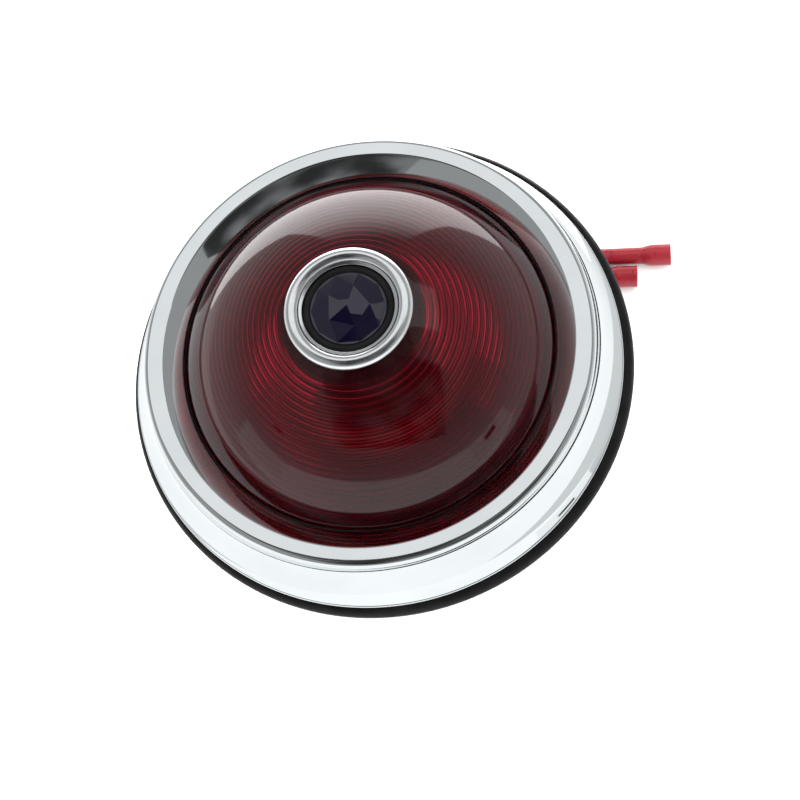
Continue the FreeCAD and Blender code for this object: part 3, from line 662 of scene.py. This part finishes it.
def bucket_mesh():
    """Pressed sheet bowl with a flange, holed for the socket, the studs and the screws."""
    floor_z = BUCKET_FLOOR_Z
    under_floor_z = floor_z - SHEET_T
    under_flange_z = FLANGE_Z - SHEET_T
    inner_mouth_r, inner_floor_r = 35.6, 22.0
    outer_mouth_r, outer_floor_r = 36.5, 22.3
    socket_hole_r = SHELL_R + 0.1
    outline = profile(
        (BUCKET_R, FLANGE_Z),
        (inner_mouth_r, FLANGE_Z),
        ((31.6, -3.6), (inner_floor_r, floor_z)),
        (socket_hole_r, floor_z),
        (socket_hole_r, under_floor_z),
        (outer_floor_r, under_floor_z),
        ((32.4, -4.2), (outer_mouth_r, under_flange_z)),
        (BUCKET_R, under_flange_z),
    )
    holes = bmesh.new()
    for angles, radius in ((STUD_ANGLES, STUD_HOLE_R), (SCREW_ANGLES, SCREW_HOLE_R)):
        for angle in angles:
            x, y = polar(STUD_PCD_R, angle)
            add_disc(holes, radius, FLANGE_Z - 2, FLANGE_Z + 1, x, y)
    return cut_away(lathe("bucket_steel", softened(outline, 0.3), 192), holes)


def add_thread(bm, low, high):
    """A threaded rod along Z with a chamfered lower end."""
    chamfer = 0.6
    segments = 32
    steps_a_turn = 6
    count = round((high - low) / THREAD_PITCH * steps_a_turn)
    rings = []
    for j in range(count + 1):
        z = low + (high - low) * j / count
        ring = []
        for i in range(segments):
            phase = (z / THREAD_PITCH - i / segments) % 1.0
            r = THREAD_CREST_R - THREAD_DEPTH * abs(1 - 2 * phase)
            r = min(r, THREAD_CREST_R - chamfer + z - low)
            x, y = polar(r, 360 * i / segments)
            ring.append(bm.verts.new((x, y, z)))
        rings.append(ring)
    for ring, after in zip(rings, rings[1:]):
        for i in range(segments):
            bm.faces.new((ring[i - 1], ring[i], after[i], after[i - 1]))
    bm.faces.new(rings[0])
    bm.faces.new(rings[-1])


def studs_mesh():
    spigot_r = 2.2  # the end that goes into the bezel's boss
    bm = bmesh.new()
    shank = softened([
        (0.0, SHOULDER_END_Z),
        (SHOULDER_R, SHOULDER_END_Z),
        (SHOULDER_R, COLLAR_SEAT_Z),
        (COLLAR_SEAT_R, COLLAR_SEAT_Z),
        (COLLAR_SEAT_R, FLANGE_Z),
        (spigot_r, FLANGE_Z),
        (spigot_r, STUD_TOP_Z),
        (0.0, STUD_TOP_Z),
    ], 0.2)
    for angle in STUD_ANGLES:
        stud = bmesh.new()
        add_thread(stud, FLOOR_Z, SHOULDER_END_Z + 0.05)
        add_lathe(stud, shank, 48)
        x, y = polar(STUD_PCD_R, angle)
        bmesh.ops.translate(stud, vec=(x, y, 0), verts=stud.verts)
        part = bpy.data.meshes.new("stud")
        stud.to_mesh(part)
        stud.free()
        bm.from_mesh(part)
        bpy.data.meshes.remove(part)
    return finished_mesh("threaded_studs", bm, sharp_deg=50)


# Spring and bulb

SPRING_LOW_Z = -20.0
SPRING_TOP_Z = -15.0
SPRING_R = 5.8
SPRING_WIRE_R = 0.4
SPRING_TURNS = 3.5
GLOBE_R = 9.2
GLOBE_Z = 14.4
NECK_R = 6.6
GLASS_WALL = 0.5
FILAMENT_Z = 13.0
TAIL_FILAMENT = (1.9, -1.2, 0.25)  # x, height over FILAMENT_Z, and the coil's outer radius
BRAKE_FILAMENT = (-1.9, 1.4, 0.35)
FILAMENT_HALF = 2.9


def spring_mesh():
    """An open coil between the insulator and the contact disc, just clear of both."""
    end_gap = 0.02
    bm = bmesh.new()
    low = SPRING_LOW_Z + SPRING_WIRE_R + end_gap
    high = SPRING_TOP_Z - SPRING_WIRE_R - end_gap
    add_coil(bm, SPRING_R, SPRING_WIRE_R, low, high, SPRING_TURNS, steps=48)
    return finished_mesh("spring_wire", bm)


def filament_mesh(name, place):
    """A coil of fine wire, laid level between its two supports."""
    x, rise, coil_r = place
    wire_r = 0.05
    support_r = 0.3
    turns = 22
    reach = FILAMENT_HALF - support_r
    bm = bmesh.new()
    add_coil(bm, coil_r - wire_r, wire_r, -reach, reach, turns, steps=14, sides=6)
    lay_down = Matrix.Translation((x, 0, FILAMENT_Z + rise)) @ Matrix.Rotation(math.pi / 2, 4, "X")
    bmesh.ops.transform(bm, matrix=lay_down, verts=bm.verts)
    return finished_mesh(name, bm)


def globe_mesh():
    """Round globe on a straight neck, hollow and open at the neck's end."""
    neck_z = GLOBE_Z - math.sqrt(GLOBE_R ** 2 - NECK_R ** 2)
    inner_r = GLOBE_R - GLASS_WALL
    inner_neck_r = NECK_R - GLASS_WALL
    inner_neck_z = GLOBE_Z - math.sqrt(inner_r ** 2 - inner_neck_r ** 2)
    outline = profile(
        (0.0, GLOBE_Z + GLOBE_R),
        ((GLOBE_R, GLOBE_Z), (NECK_R, neck_z)),
        (NECK_R, 0.0),
        (inner_neck_r, 0.0),
        (inner_neck_r, inner_neck_z),
        ((inner_r, GLOBE_Z), (0.0, GLOBE_Z + inner_r)),
    )
    return lathe("globe_glass", outline, 96)


# Leads and connectors

def on_connector(place, along):
    """A point on a connector's axis, measured from its outer end towards the lead."""
    x, y, heading = place
    dx, dy = polar(along, heading)
    return x - dx, y - dy, CONNECTOR_Z


TAIL_ROUTE = [
    (0, -2.2, -19.6),
    (0, -2.2, -25.6),
    (-0.8, -2.4, -28.5),
    (-3.3, -2.9, -30.4),
    (-7.8, -3.0, LEAD_Z),
    (-14.5, 0.4, LEAD_Z),
    (-19.0, 8.0, LEAD_Z),
    (-18.0, 18.5, LEAD_Z),
    (-10.5, 27.5, LEAD_Z),
    (1.5, 32.8, LEAD_Z),
    (14.5, 36.0, LEAD_Z),
    (25.5, 37.6, LEAD_Z + 0.3),
    on_connector(TAIL_CONNECTOR, CONNECTOR_L + 3.0),
    on_connector(TAIL_CONNECTOR, (CONNECTOR_L + BARREL_L) / 2),
]
BRAKE_ROUTE = [
    (0, 2.2, -19.6),
    (0, 2.2, -25.6),
    (-0.6, 2.6, -28.5),
    (-2.7, 4.2, -30.4),
    (-6.0, 7.2, LEAD_Z),
    (-9.2, 12.2, LEAD_Z),
    (-9.0, 18.6, LEAD_Z),
    (-4.0, 24.2, LEAD_Z),
    (5.5, 28.6, LEAD_Z),
    (16.5, 31.6, LEAD_Z + 0.3),
    on_connector(BRAKE_CONNECTOR, CONNECTOR_L + 3.0),
    on_connector(BRAKE_CONNECTOR, (CONNECTOR_L + BARREL_L) / 2),
]


def lead_curve(name, route):
    """A wire on a smooth line led by the route's points."""
    curve = bpy.data.curves.new(name, "CURVE")
    curve.dimensions = "3D"
    curve.bevel_depth = WIRE_R * MM
    curve.bevel_resolution = 6
    curve.resolution_u = 10
    curve.use_fill_caps = True
    spline = curve.splines.new("NURBS")
    spline.points.add(len(route) - 1)
    for point, place in zip(spline.points, route):
        point.co = (*(Vector(place) * MM), 1)
    spline.order_u = 3
    spline.use_endpoint_u = True
    return curve


def laid_along(name, place, bm):
    """A shape made along Z with its outer end at Z = 0, laid on a connector's axis."""
    x, y, heading = place
    turn = Matrix.Rotation(math.radians(heading), 4, "Z") @ Matrix.Rotation(math.pi / 2, 4, "Y")
    bmesh.ops.transform(bm, matrix=Matrix.Translation((x, y, CONNECTOR_Z)) @ turn, verts=bm.verts)
    return finished_mesh(name, bm)


CRIMPS_Z = (-17.2, -14.6)  # centres of the two crimp dents on the lead's side
CRIMP_HALF = 1.1
CRIMP_DEPTH = 0.32


def connector_mesh(name, place):
    """Insulating sleeve with flared ends, pressed in where the barrel under it is crimped on the lead."""
    bell_l = 4.6
    flare_l = 2.0
    far = -CONNECTOR_L
    bell_bore = BELL_R - BELL_WALL
    gap = (CONNECTOR_L - BARREL_L) / 2
    body_start = -bell_l - flare_l
    rings = 22  # extra ones along the body, which the crimps bend
    ring_step = 0.5
    body = [(SLEEVE_R, body_start - ring_step * i) for i in range(1, rings + 1)]
    outline = softened([
        (BELL_R, 0.0),
        (BELL_R, -bell_l),
        (SLEEVE_R, body_start),
        *body,
        (SLEEVE_R, far + bell_l + flare_l),
        (BELL_R, far + bell_l),
        (BELL_R, far),
        (bell_bore, far),
        (bell_bore, far + bell_l),
        (SLEEVE_BORE_R, far + gap),
        (SLEEVE_BORE_R, -gap),
        (bell_bore, -bell_l),
        (bell_bore, 0.0),
    ], 0.3, sharper_than_deg=10)
    bm = bmesh.new()
    add_lathe(bm, outline, 48)
    for vert in bm.verts:
        across = abs(vert.co.x) / SLEEVE_R
        if vert.co.xy.length < SLEEVE_R - 0.1:
            continue
        for crimp_z in CRIMPS_Z:
            near = max(0.0, 1 - ((vert.co.z - crimp_z) / CRIMP_HALF) ** 2)
            vert.co.x -= math.copysign(CRIMP_DEPTH * near * across ** 3, vert.co.x)
    return laid_along(name, place, bm)


def barrel_mesh(name, place):
    """Crimp barrel with a wire stop in the middle."""
    gap = (CONNECTOR_L - BARREL_L) / 2
    far = gap - CONNECTOR_L
    middle = -CONNECTOR_L / 2
    stop_r = 0.3
    stop_half = 0.4
    outline = softened([
        (SLEEVE_BORE_R, -gap),
        (SLEEVE_BORE_R, far),
        (BARREL_BORE_R, far),
        (BARREL_BORE_R, middle - stop_half),
        (stop_r, middle),
        (BARREL_BORE_R, middle + stop_half),
        (BARREL_BORE_R, -gap),
    ], 0.12)
    bm = bmesh.new()
    add_lathe(bm, outline, 40)
    return laid_along(name, place, bm)


def strands_mesh(name, place):
    """The stripped end of a lead: seven twisted strands."""
    start = (CONNECTOR_L - BARREL_L) / 2 - CONNECTOR_L
    end = start + STRIPPED_L
    strand_r = 0.26
    twist = 0.8
    bm = bmesh.new()
    add_disc(bm, strand_r, start, end, segments=10)
    for i in range(6):
        add_coil(bm, 2 * strand_r, strand_r, start, end, twist, steps=30, sides=8, start_deg=60 * i)
    return laid_along(name, place, bm)


# The pieces

show("bezel_chrome", "bezel", bezel_mesh())
show("pad_rubber", "mounting_pad", pad_mesh())
show("lens_glass", "lens", lens_mesh())
show("lens_seal_rubber", "lens_seal", lens_seal_mesh())
show("dot_ring_chrome", "dot_ring", dot_ring_mesh(), LOOKS["soft_chrome"])
show("dot_seal_rubber", "dot_seal", dot_seal_mesh())
show("dot_crystal_glass", "dot_crystal", dot_crystal_mesh())
show("bucket_steel", "bucket", bucket_mesh())
show("threaded_studs", "mounting_studs", studs_mesh())
show("globe_glass", "bulb_globe", globe_mesh())
show("tail_filament_coil", "tail_filament", filament_mesh("tail_filament_coil", TAIL_FILAMENT))
show("brake_filament_coil", "brake_filament", filament_mesh("brake_filament_coil", BRAKE_FILAMENT))
spring = show("spring_wire", "plunger_spring", spring_mesh())
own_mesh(spring)

LEADS = (
    ("tail", TAIL_ROUTE, TAIL_CONNECTOR, 0.108),
    ("brake", BRAKE_ROUTE, BRAKE_CONNECTOR, 0.076),
)
for which, route, place, length in LEADS:
    wire = show(which + "_wire", which + "_lead", lead_curve(which + "_wire", route))
    sleeve = show(which + "_sleeve", which + "_connector", connector_mesh(which + "_sleeve", place))
    barrel = show(which + "_crimp", which + "_barrel", barrel_mesh(which + "_crimp", place))
    strands = show(which + "_strands", "stripped_ends", strands_mesh(which + "_strands", place))

for node, obj in NODES.items():
    if not obj.hide_render:
        obj.data.materials.clear()
        obj.data.materials.append(LOOKS[SLOT_OF[node]])


# Studio, in metres except for the camera's place

TABLE_Z = FLOOR_Z * MM
HALF_W = 1.6  # of the apron before the table and of the low panels round it
FRONT_Y = -1.5
BACK_Y = 1.5


def glow(name, mesh, near, far, fade, along="Z"):
    """A lit surface that only reflections and refractions see. Unless far is None, its strength passes from
    near to far while the coordinate along goes through fade. With along "noise" it is blotchy, and fade is
    the range of the noise."""
    blotch_mm = 420
    material = bpy.data.materials.new(name)
    material.use_nodes = True
    material.cycles.emission_sampling = "NONE"
    tree = material.node_tree
    tree.nodes.remove(tree.nodes["Principled BSDF"])
    light = tree.nodes.new("ShaderNodeEmission")
    light.inputs["Strength"].default_value = near
    tree.links.new(light.outputs[0], tree.nodes["Material Output"].inputs["Surface"])
    if far is not None:
        position = tree.nodes.new("ShaderNodeTexCoord").outputs["Object"]
        if along == "noise":
            value = noise_at(tree, position, blotch_mm, roughness=0.35)
        else:
            split = tree.nodes.new("ShaderNodeSeparateXYZ")
            tree.links.new(position, split.inputs[0])
            value = split.outputs[along]
        tree.links.new(mapped(tree, value, fade, (near, far), "SMOOTHSTEP"), light.inputs["Strength"])
    mesh.materials.append(material)
    obj = add_object(name, mesh)
    obj.visible_camera = False
    obj.visible_diffuse = False
    obj.visible_shadow = False


def card(name, corners, near, far=None, fade=(0.0, 1.0), along="Z"):
    """A flat glowing panel with these corners."""
    mesh = bpy.data.meshes.new(name)
    mesh.from_pydata(corners, [], [tuple(range(len(corners)))])
    glow(name, mesh, near, far, fade, along)


def level(low_x, low_y, high_x, high_y, z=TABLE_Z):
    """The corners of a level rectangle."""
    return [(low_x, low_y, z), (high_x, low_y, z), (high_x, high_y, z), (low_x, high_y, z)]


def upright(start, end, start_top, end_top, low=TABLE_Z):
    """The corners of an upright panel between two points (x, y)."""
    return [(*start, low), (*end, low), (*end, end_top), (*start, start_top)]


def tent():
    """White cloth all round, dimmer overhead, over a table whose far side catches the back light."""
    table_front_y = -0.3
    bm = bmesh.new()
    bmesh.ops.create_uvsphere(bm, u_segments=48, v_segments=24, radius=3.0)
    mesh = bpy.data.meshes.new("tent")
    bm.to_mesh(mesh)
    bm.free()
    glow("tent", mesh, 0.78, 0.34, (-0.3, 1.5))
    card("table", level(-0.3, table_front_y, 0.16, BACK_Y), 1.2, 0.8, fade=(0.0, 0.2), along="Y")
    far_z = TABLE_Z + 0.0005
    far_table = [(-0.15, 0.08, far_z), (0.1, 0.08, far_z), (0.6, BACK_Y, far_z), (-0.9, BACK_Y, far_z)]
    card("far_table", far_table, 3.2)
    card("apron", level(-HALF_W, FRONT_Y, HALF_W, table_front_y), 1.25)


def overhead(name, outline, near, far=None, fade=(0.0, 1.0)):
    """A level panel 1.2 m up, blotchy if it has two strengths. Its outline is given as slopes, X and Y over
    Z, seen from the lamp."""
    height = 1.2
    card(name, [(x * height, y * height, height) for x, y in outline], near, far, fade, along="noise")


def openings():
    """The tent's dark opening round the camera, a roof light, panels low down and two lamp stands."""
    opening = [(-0.42, 0.2), (0.4, 0.2), (0.5, -0.12), (0.83, -0.2), (1.45, -1.6), (-0.54, -1.43)]
    overhead("opening", opening, 0.03, 0.24, fade=(0.36, 0.72))
    overhead("roof", [(-0.8, 0.2), (0.8, 0.2), (0.8, 0.8), (-0.8, 0.8)], 0.95)
    back_top = 0.75
    foot = [(-0.9, BACK_Y, TABLE_Z), (0.6, BACK_Y, TABLE_Z)]
    head = [(0.35, BACK_Y, back_top), (-0.45, BACK_Y, back_top)]
    card("back_panel", foot + head, 3.0, 0.34, fade=(0.05, back_top))
    front_top = 0.4
    side_end_y = -0.5
    left_corner, right_corner = (-HALF_W, FRONT_Y), (HALF_W, FRONT_Y)
    card("front_panel", upright(left_corner, right_corner, front_top, front_top), 1.25)
    card("left_panel", upright(left_corner, (-HALF_W, side_end_y), front_top, 0.3), 1.1)
    card("right_panel", upright(right_corner, (HALF_W, side_end_y), front_top, 0.2), 1.1)
    card("left_stand", upright((-1.5, -0.85), (-1.4, -1.0), 0.78, 0.78, low=0.7), 0.05)
    card("right_stand", upright((1.5, -0.75), (1.4, -0.95), 0.2, 0.2, low=0.12), 0.05)


def floor():
    """White paper, a tenth of a millimetre under the lamp."""
    half = 6.0
    mesh = bpy.data.meshes.new("floor")
    mesh.from_pydata(level(-half, -half, half, half, z=0), [], [(0, 1, 2, 3)])
    obj = add_object("floor", mesh)
    obj.location.z = TABLE_Z - 0.0001
    mesh.materials.append(look(
        "white_paper", (0.90, 0.90, 0.90), (0.92, 0.92, 0.92), (0.7, 0.8), patch=40, grain=1.0, bump=0.005))
    obj.visible_glossy = False
    obj.visible_transmission = False


def daylight():
    """Even white light on matt surfaces. Reflections see the tent instead."""
    world = bpy.data.worlds.new("white_room")
    bpy.context.scene.world = world
    world.use_nodes = True
    background = world.node_tree.nodes["Background"]
    background.inputs["Color"].default_value = (1.0, 1.0, 1.0, 1)
    background.inputs["Strength"].default_value = 2.6
    world.cycles_visibility.glossy = False
    world.cycles_visibility.transmission = False


def camera():
    """Above and in front of the lamp, a little to its right."""
    position = Vector((53.27, -118.4, 314.34)) * MM
    target = Vector((4.55, -6.6, 0)) * MM
    sideways = Vector((0.9882, 0, -0.1532))  # a direction that lies level in the picture
    forward = (target - position).normalized()
    up = sideways.cross(forward).normalized()
    side = forward.cross(up)
    data = bpy.data.cameras.new("camera")
    data.lens = 72
    data.sensor_width = 36
    data.clip_start = 0.01
    data.clip_end = 50
    obj = add_object("camera", data)
    turn = Matrix((side, up, -forward)).transposed()
    obj.matrix_world = Matrix.Translation(position) @ turn.to_4x4()
    bpy.context.scene.camera = obj


floor()
daylight()
tent()
openings()
camera()
settings = bpy.context.scene.view_settings
settings.view_transform = "Standard"
cycles = bpy.context.scene.cycles
cycles.max_bounces = 24
cycles.transmission_bounces = 20
cycles.glossy_bounces = 8
